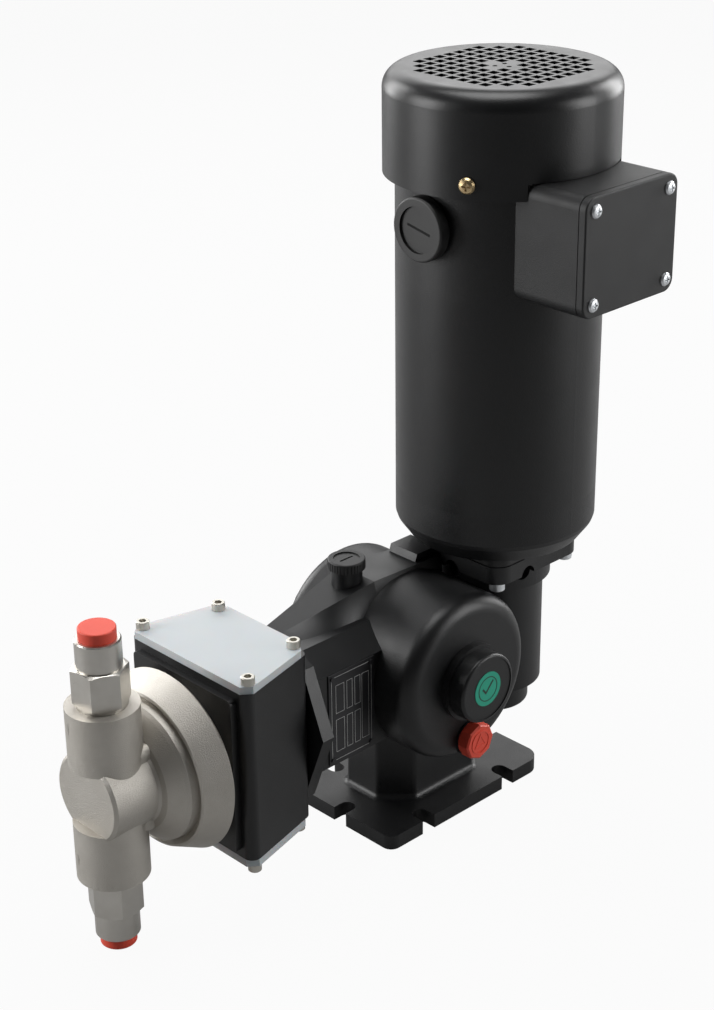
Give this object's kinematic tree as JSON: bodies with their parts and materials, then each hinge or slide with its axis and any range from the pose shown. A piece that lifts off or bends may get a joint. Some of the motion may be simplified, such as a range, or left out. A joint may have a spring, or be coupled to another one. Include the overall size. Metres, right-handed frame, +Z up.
{
  "type": "metering pump",
  "caption": "Plunger metering pump with a vertical motor, worm gearbox, lantern with splash covers and a stainless head",
  "frame": {"origin": "Centre of the base's underside, midway between the four slots", "axes": "X along the worm wheel shaft, +X is the side with the terminal box; -Y from the gearbox to the pump head; Z up"},
  "size_m": [0.2095, 0.4097, 0.4865],
  "materials": {
    "black_paint": "satin",
    "black_plastic": "matte",
    "label_metal": "satin",
    "white_plastic": "matte",
    "cast_stainless": "satin",
    "machined_stainless": "satin",
    "zinc_screws": "satin",
    "brass_screws": "satin",
    "red_plastic": "gloss",
    "seal_rubber": "matte",
    "bearing_steel": "satin",
    "wheel_bronze": "satin",
    "iron_core": "matte",
    "terminal_plastic": "matte"
  },
  "bodies": {
    "body": {"gearbox_housing": "black_paint", "nameplate": "label_metal", "side_cover": "black_paint", "cover_circlip": "bearing_steel", "cover_oring": "seal_rubber", "bearing_cap": "black_paint", "worm_cap": "black_paint", "worm_bearings": "bearing_steel", "shaft_bearings": "bearing_steel", "return_spring": "bearing_steel", "guide_plate": "bearing_steel", "rod_seal": "seal_rubber", "lantern_box": "black_paint", "top_splash_cover": "white_plastic", "bottom_splash_cover": "white_plastic", "cover_screws": "zinc_screws", "lantern_screws": "zinc_screws", "head_screws": "zinc_screws", "pump_head": "cast_stainless", "packing_rings": "seal_rubber", "gland": "machined_stainless", "discharge_connection": "machined_stainless", "suction_connection": "machined_stainless", "discharge_seat": "machined_stainless", "suction_seat": "machined_stainless", "discharge_cage": "machined_stainless", "suction_cage": "machined_stainless", "oil_plug": "red_plastic", "drive_shield": "black_paint", "flange_gasket": "seal_rubber", "flange_screws": "zinc_screws", "stator_frame": "black_paint", "stator_core": "iron_core", "end_bracket": "black_paint", "blanking_plug": "black_plastic", "motor_bearings": "bearing_steel", "fan_cowl": "black_paint", "cowl_screws": "brass_screws", "terminal_box": "black_paint", "terminal_gasket": "seal_rubber", "terminal_cover": "black_paint", "terminal_screws": "zinc_screws", "terminal_block": "terminal_plastic"},
    "rotor": {"rotor_shaft": "bearing_steel", "rotor_core": "iron_core", "cooling_fan": "black_plastic", "worm": "bearing_steel"},
    "wheel": {"worm_wheel": "wheel_bronze", "eccentric_shaft": "bearing_steel", "eccentric_ring": "bearing_steel"},
    "crosshead": {"crosshead": "bearing_steel", "thrust_pad": "bearing_steel", "plunger": "machined_stainless"},
    "filler_cap": {"filler_cap": "black_plastic"},
    "setting_knob": {"setting_knob": "black_plastic"},
    "setting_rod": {"setting_rod": "bearing_steel"},
    "suction_ball": {"suction_ball": "machined_stainless"},
    "discharge_ball": {"discharge_ball": "machined_stainless"},
    "suction_plug": {"suction_plug": "red_plastic"},
    "discharge_plug": {"discharge_plug": "red_plastic"}
  },
  "joints": [
    {"name": "motor_spin", "type": "hinge", "parent": "body", "child": "rotor", "pos_m": [0.0165, 0.0555, 0.3], "axis": [0, 0, 1], "continuous": true},
    {"name": "wheel_spin", "type": "hinge", "parent": "body", "child": "wheel", "pos_m": [0, -0.0165, 0.111], "axis": [1, 0, 0], "continuous": true},
    {"name": "plunger_stroke", "type": "slide", "parent": "body", "child": "crosshead", "axis": [0, -1, 0], "range_m": [0, 0.015], "stiffness_N_per_m": 2000, "springref_m": -0.01, "deforming": ["return_spring"]},
    {"name": "stroke_setting", "type": "hinge", "parent": "body", "child": "setting_knob", "pos_m": [-0.0787, -0.0165, 0.111], "axis": [1, 0, 0], "range_deg": [0, 1440]},
    {"name": "setting_feed", "type": "slide", "parent": "body", "child": "setting_rod", "axis": [1, 0, 0], "range_m": [0, 0.008]},
    {"name": "suction_ball_lift", "type": "slide", "parent": "body", "child": "suction_ball", "axis": [0, 0, 1], "range_m": [0, 0.003]},
    {"name": "discharge_ball_lift", "type": "slide", "parent": "body", "child": "discharge_ball", "axis": [0, 0, 1], "range_m": [0, 0.003]},
    {"name": "filler_cap_turn", "type": "hinge", "parent": "body", "child": "filler_cap", "pos_m": [-0.014, -0.051, 0.18], "axis": [0, 0, 1], "range_deg": [0, 720]},
    {"name": "discharge_plug_pull", "type": "slide", "parent": "body", "child": "discharge_plug", "axis": [0, 0, 1], "range_m": [0, 0.012]},
    {"name": "suction_plug_pull", "type": "slide", "parent": "body", "child": "suction_plug", "axis": [0, 0, -1], "range_m": [0, 0.012]}
  ],
  "couplings": [
    {"joint": "wheel_spin", "follows": "motor_spin", "ratio": -0.032258},
    {"joint": "setting_feed", "follows": "stroke_setting", "m_per_rad": 0.00031831}
  ]
}
